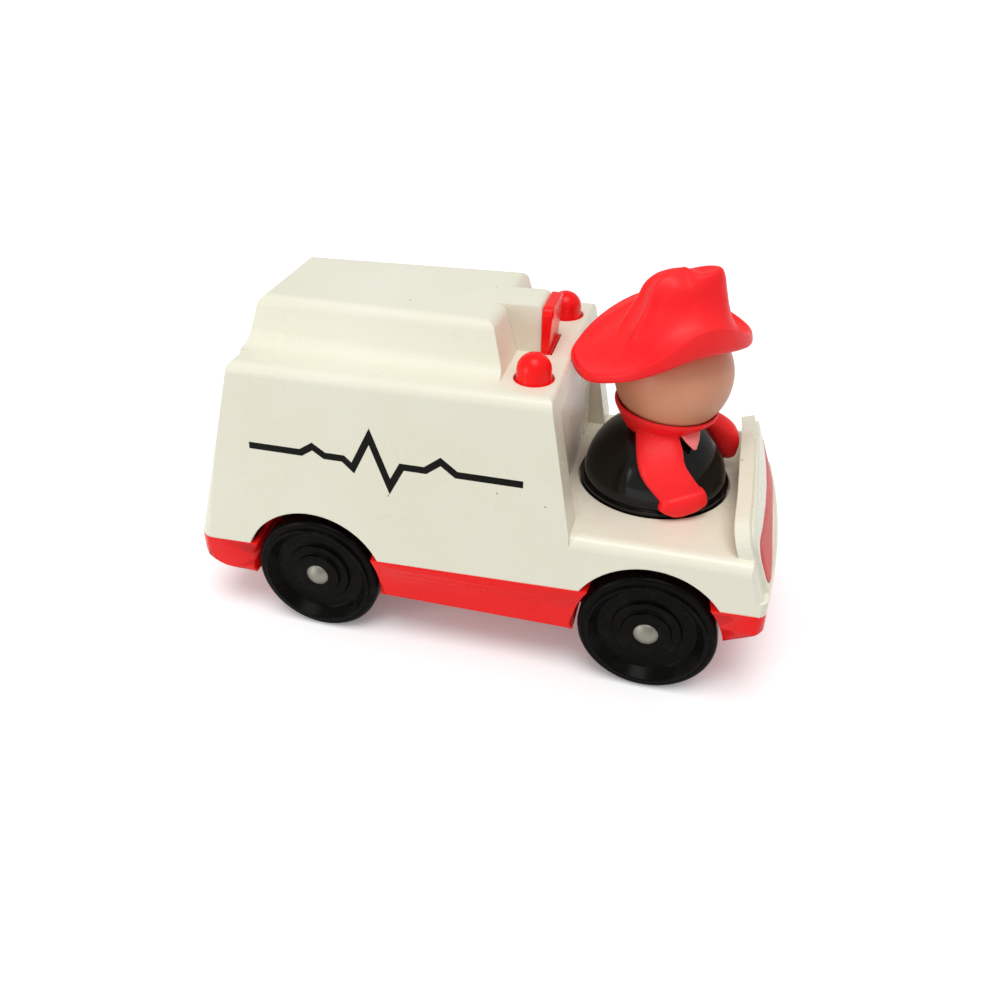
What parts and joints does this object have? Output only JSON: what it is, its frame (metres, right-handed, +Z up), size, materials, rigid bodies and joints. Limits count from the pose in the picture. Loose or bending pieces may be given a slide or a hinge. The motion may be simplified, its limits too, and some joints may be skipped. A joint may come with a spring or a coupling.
{
  "type": "toy ambulance",
  "caption": "Push-along toy ambulance van with an open cab, rolling wheels on steel axles, roof lights and a lift-out driver whose head turns.",
  "frame": {"origin": "on the floor, below the middle of the body", "axes": "+X forward along the vehicle, +Y to its left, +Z up"},
  "size_m": [0.157, 0.0704, 0.1042],
  "materials": {
    "white_plastic": "glossy, lightly scuffed",
    "red_plastic": "glossy",
    "red_vinyl": "soft satin vinyl",
    "wheel_black": "satin",
    "body_black": "high gloss",
    "head_tan": "satin",
    "axle_steel": "dull"
  },
  "bodies": {
    "ambulance": {"body_shell": "white_plastic", "base": "red_plastic", "light_bar": "red_plastic", "front_grille": "red_plastic", "base_screws": "axle_steel"},
    "front_wheels": {"front_axle": "axle_steel", "wheel_front_left": "wheel_black", "wheel_front_right": "wheel_black"},
    "rear_wheels": {"rear_axle": "axle_steel", "wheel_rear_left": "wheel_black", "wheel_rear_right": "wheel_black"},
    "driver": {"driver_body": "body_black", "driver_jacket": "red_vinyl"},
    "driver_head": {"driver_head": "head_tan", "driver_hat": "red_vinyl"}
  },
  "joints": [
    {"name": "front_roll", "type": "hinge", "parent": "ambulance", "child": "front_wheels", "pos_m": [0.0485, 0, 0.0178], "axis": [0, 1, 0], "continuous": true},
    {"name": "rear_roll", "type": "hinge", "parent": "ambulance", "child": "rear_wheels", "pos_m": [-0.0425, 0, 0.0178], "axis": [0, 1, 0], "continuous": true},
    {"name": "driver_lift", "type": "slide", "parent": "ambulance", "child": "driver", "axis": [0, 0, 1], "range_m": [0, 0.04]},
    {"name": "head_turn", "type": "hinge", "parent": "driver", "child": "driver_head", "pos_m": [0.0468, 0, 0.076], "axis": [0, 0, 1], "range_deg": [0, 308]}
  ]
}
